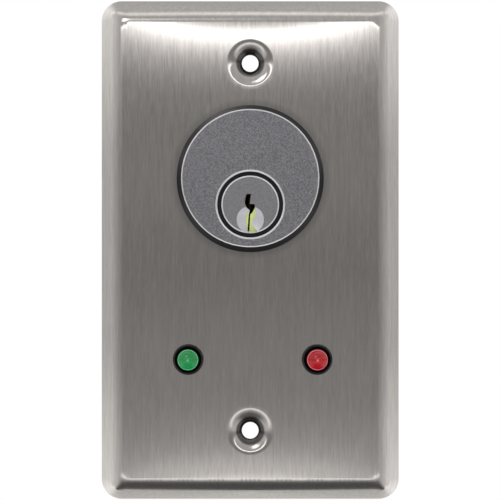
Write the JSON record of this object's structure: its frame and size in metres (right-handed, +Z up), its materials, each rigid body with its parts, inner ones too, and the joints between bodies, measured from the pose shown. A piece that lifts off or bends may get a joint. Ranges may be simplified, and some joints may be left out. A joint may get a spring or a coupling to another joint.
{
  "type": "selector key switch",
  "caption": "Single-gang pressed steel wall plate with a mortise key cylinder whose cam works a roller-lever snap switch, and a green and a red indicator lamp below it.",
  "frame": {"origin": "the plate's centre in the wall plane", "axes": "+Z up the wall, +X to the right as seen from the room, +Y into the wall"},
  "size_m": [0.0682, 0.0427, 0.1142],
  "materials": {
    "brushed_plate": "vertical brushed stainless",
    "satin_nickel": "fine satin nickel plate over brass",
    "plug_nickel": "fine satin nickel plate over brass",
    "bare_brass": "bare machined brass",
    "zinc_cam": "zinc-plated steel",
    "zinc_steel": "bright zinc plate",
    "spring_steel": "bright spring steel",
    "switch_black": "moulded phenolic",
    "cover_red": "moulded phenolic",
    "nylon": "natural nylon",
    "spring_copper": "rolled beryllium copper",
    "contact_silver": "silver alloy",
    "green_lens": "clear green epoxy",
    "red_lens": "clear red epoxy",
    "tinned_wire": "tinned",
    "holder_black": "moulded nylon, slightly glossy"
  },
  "bodies": {
    "plate": {"faceplate": "brushed_plate", "cylinder_shell": "satin_nickel", "chamber_cover": "bare_brass", "switch_bracket": "zinc_steel", "lock_nut": "zinc_steel", "lock_washer": "spring_steel", "switch_case": "switch_black", "switch_cover": "cover_red", "lever_hinge_pin": "zinc_steel", "fixed_contacts": "contact_silver", "common_terminal": "bare_brass", "normally_open_terminal": "bare_brass", "normally_closed_terminal": "bare_brass", "switch_screws": "zinc_steel", "switch_nuts": "zinc_steel", "green_lamp": "green_lens", "red_lamp": "red_lens", "green_lamp_leads": "tinned_wire", "red_lamp_leads": "tinned_wire", "lamp_holder_left": "holder_black", "lamp_holder_right": "holder_black", "lamp_ring_left": "holder_black", "lamp_ring_right": "holder_black", "pin_spring_1": "spring_steel", "pin_spring_2": "spring_steel", "pin_spring_3": "spring_steel", "pin_spring_4": "spring_steel", "pin_spring_5": "spring_steel"},
    "plug": {"cylinder_plug": "plug_nickel", "actuator_cam": "zinc_cam", "cam_screws": "zinc_steel"},
    "lever": {"switch_lever": "spring_steel", "roller_pin": "zinc_steel"},
    "roller": {"lever_roller": "nylon"},
    "plunger": {"switch_plunger": "nylon"},
    "blade": {"contact_blade": "spring_copper", "moving_contacts": "contact_silver"},
    "key_pin_1": {"key_pin_1": "bare_brass"},
    "driver_pin_1": {"driver_pin_1": "bare_brass"},
    "key_pin_2": {"key_pin_2": "bare_brass"},
    "driver_pin_2": {"driver_pin_2": "bare_brass"},
    "key_pin_3": {"key_pin_3": "bare_brass"},
    "driver_pin_3": {"driver_pin_3": "bare_brass"},
    "key_pin_4": {"key_pin_4": "bare_brass"},
    "driver_pin_4": {"driver_pin_4": "bare_brass"},
    "key_pin_5": {"key_pin_5": "bare_brass"},
    "driver_pin_5": {"driver_pin_5": "bare_brass"}
  },
  "joints": [
    {"name": "plug_turn", "type": "hinge", "parent": "plate", "child": "plug", "pos_m": [0, 0, 0.0102], "axis": [0, 1, 0], "range_deg": [0, 90]},
    {"name": "lever_swing", "type": "hinge", "parent": "plate", "child": "lever", "pos_m": [-0.0104, 0.02515, -0.00625], "axis": [0, 1, 0], "range_deg": [0, 15]},
    {"name": "roller_spin", "type": "hinge", "parent": "lever", "child": "roller", "pos_m": [-0.0001, 0.02515, -0.00064], "axis": [0, 1, 0], "continuous": true},
    {"name": "plunger_press", "type": "slide", "parent": "plate", "child": "plunger", "axis": [0, 0, -1], "range_m": [0, 0.00157]},
    {"name": "blade_snap", "type": "hinge", "parent": "plate", "child": "blade", "pos_m": [0.0084, 0.02515, -0.01168], "axis": [0, -1, 0], "range_deg": [0, 7]},
    {"name": "key_pin_1_lift", "type": "slide", "parent": "plug", "child": "key_pin_1", "axis": [0, 0, 1], "range_m": [0, 0.00335]},
    {"name": "key_pin_2_lift", "type": "slide", "parent": "plug", "child": "key_pin_2", "axis": [0, 0, 1], "range_m": [0, 0.00235]},
    {"name": "key_pin_3_lift", "type": "slide", "parent": "plug", "child": "key_pin_3", "axis": [0, 0, 1], "range_m": [0, 0.00395]},
    {"name": "key_pin_4_lift", "type": "slide", "parent": "plug", "child": "key_pin_4", "axis": [0, 0, 1], "range_m": [0, 0.00275]},
    {"name": "key_pin_5_lift", "type": "slide", "parent": "plug", "child": "key_pin_5", "axis": [0, 0, 1], "range_m": [0, 0.00355]},
    {"name": "driver_pin_1_lift", "type": "slide", "parent": "plate", "child": "driver_pin_1", "axis": [0, 0, 1], "range_m": [0, 0.0032], "stiffness_N_per_m": 80, "springref_m": -0.005, "deforming": ["pin_spring_1"]},
    {"name": "driver_pin_2_lift", "type": "slide", "parent": "plate", "child": "driver_pin_2", "axis": [0, 0, 1], "range_m": [0, 0.0032], "stiffness_N_per_m": 80, "springref_m": -0.005, "deforming": ["pin_spring_2"]},
    {"name": "driver_pin_3_lift", "type": "slide", "parent": "plate", "child": "driver_pin_3", "axis": [0, 0, 1], "range_m": [0, 0.0032], "stiffness_N_per_m": 80, "springref_m": -0.005, "deforming": ["pin_spring_3"]},
    {"name": "driver_pin_4_lift", "type": "slide", "parent": "plate", "child": "driver_pin_4", "axis": [0, 0, 1], "range_m": [0, 0.0032], "stiffness_N_per_m": 80, "springref_m": -0.005, "deforming": ["pin_spring_4"]},
    {"name": "driver_pin_5_lift", "type": "slide", "parent": "plate", "child": "driver_pin_5", "axis": [0, 0, 1], "range_m": [0, 0.0032], "stiffness_N_per_m": 80, "springref_m": -0.005, "deforming": ["pin_spring_5"]}
  ],
  "couplings": [
    {"joint": "lever_swing", "follows": "plug_turn", "ratio": 0.16666},
    {"joint": "plunger_press", "follows": "plug_turn", "m_per_rad": 0.001},
    {"joint": "blade_snap", "follows": "plug_turn", "ratio": 0.0777}
  ]
}
